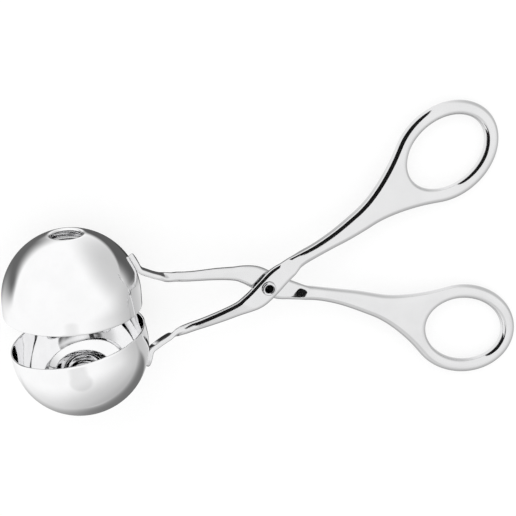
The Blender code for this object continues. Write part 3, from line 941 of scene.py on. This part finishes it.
def floor_shade(name, centre, half_width, half_height, fade_share, levels):
    """A shade lying on the floor that only the metal's reflections see."""
    material, nodes, strength, solid_socket, solid = glow_material(name)
    spot = spot_axes(nodes)
    total = 0.0
    for axis, half in (("X", half_width), ("Y", half_height)):
        share = nodes.math("ABSOLUTE", nodes.math("DIVIDE", spot[axis], half))
        total = nodes.math("ADD", nodes.math("POWER", share, SHADE_POWER), total)
    out = nodes.math("POWER", total, 1 / SHADE_POWER)
    nodes.link(nodes.spread(out, *SHADE_TURN, *levels), strength)
    nodes.link(nodes.math("MULTIPLY", solid, nodes.spread(out, 1 - fade_share, 1, 1, 0)), solid_socket)
    place = Matrix.Translation(centre)
    hide_from_all_but_metal(stage_plane(name, 2 * half_width, 2 * half_height, place, material))


def floor():
    """A pale floor. The metal does not reflect it, and from below it is clear."""
    material = bpy.data.materials.new("table_white")
    material.use_nodes = True
    shader = material.node_tree.nodes["Principled BSDF"]
    shader.inputs["Base Color"].default_value = (*FLOOR_COLOUR, 1)
    shader.inputs["Roughness"].default_value = 1
    shader.inputs["Specular IOR Level"].default_value = 0
    shader.inputs["Emission Color"].default_value = (1, 1, 1, 1)
    shader.inputs["Emission Strength"].default_value = FLOOR_GLOW
    nodes = Nodes(material.node_tree)
    mix = nodes.add("ShaderNodeMixShader")
    nodes.link(nodes.add("ShaderNodeNewGeometry").outputs["Backfacing"], mix.inputs[0])
    nodes.link(shader.outputs[0], mix.inputs[1])
    nodes.link(nodes.add("ShaderNodeBsdfTransparent").outputs[0], mix.inputs[2])
    nodes.link(mix.outputs[0], material.node_tree.nodes["Material Output"].inputs["Surface"])
    place = Matrix.Translation((0, 0, -FLOOR_DROP))
    item = stage_plane("floor", FLOOR_SIZE, FLOOR_SIZE, place, material)
    item.visible_glossy = False


def soft_lamp(name, centre, aims, size, power):
    lamp = bpy.data.lights.new(name, "AREA")
    lamp.shape = "DISK"
    lamp.size = size
    lamp.energy = power
    item = bpy.data.objects.new(name, lamp)
    turn = (Vector(centre) - Vector(aims)).to_track_quat("Z", "Y").to_matrix().to_4x4()
    item.matrix_world = Matrix.Translation(centre) @ turn
    item.visible_glossy = False
    bpy.context.scene.collection.objects.link(item)


def camera():
    """The photograph's view: the tongs' frame turned by three angles, with the rivet at its pixel."""
    turn = Matrix.Identity(3)
    for angle, axis in zip(VIEW_TURN_DEG, "XYZ"):
        turn = turn @ Matrix.Rotation(math.radians(angle), 3, axis)
    top = turn @ Vector((0, 0, RIVET_TOP))
    pixel = RIVET_DISTANCE / FOCAL_PIXELS
    middle = PHOTO_PIXELS / 2
    offset = Vector(((RIVET_PIXEL[0] - middle) * pixel, (middle - RIVET_PIXEL[1]) * pixel, -RIVET_DISTANCE))
    offset -= Vector((top.x, top.y, 0))
    back = turn.transposed()
    place = back.to_4x4()
    place.translation = -(back @ offset)
    data = bpy.data.cameras.new("camera")
    data.sensor_width = SENSOR_WIDTH
    data.lens = SENSOR_WIDTH * FOCAL_PIXELS / PHOTO_PIXELS
    data.clip_start = NEAREST
    item = bpy.data.objects.new("camera", data)
    item.matrix_world = tongs_matrix() @ place
    bpy.context.scene.collection.objects.link(item)
    bpy.context.scene.camera = item


def studio():
    bpy.context.scene.view_settings.view_transform = "Standard"
    studio_world()
    floor()
    for values in CARDS:
        card(*values)
    floor_shade(*STRIP_SHADE)
    for values in LAMPS:
        soft_lamp(*values)
    camera()


def main():
    lever_finish = polished_steel(
        "lever_steel", LEVER_COLOUR, LEVER_ROUGHNESS, LEVER_ROUGH_SPREAD, LEVER_RIPPLE, LEVER_SCRATCH
    )
    cup_finish = polished_steel(
        "cup_steel", CUP_COLOUR, CUP_ROUGHNESS, CUP_ROUGH_SPREAD, CUP_RIPPLE, CUP_SCRATCH
    )
    rivet_finish = polished_steel(
        "rivet_steel", RIVET_COLOUR, RIVET_ROUGHNESS, RIVET_ROUGH_SPREAD, RIVET_RIPPLE, RIVET_SCRATCH
    )
    # Painted shade in the rivet's bore
    paint_bore_shade(rivet_finish)
    cutter = rivet_hole_cutter()
    lever("front_lever", 1, cutter, lever_finish, "front_half")
    lever("rear_lever", -1, cutter, lever_finish, "rear_half")
    bpy.data.objects.remove(cutter)
    cup("lower_cup", 1, cup_finish, "front_half")
    cup("upper_cup", -1, cup_finish, "rear_half")
    rivet(rivet_finish)
    studio()


main()
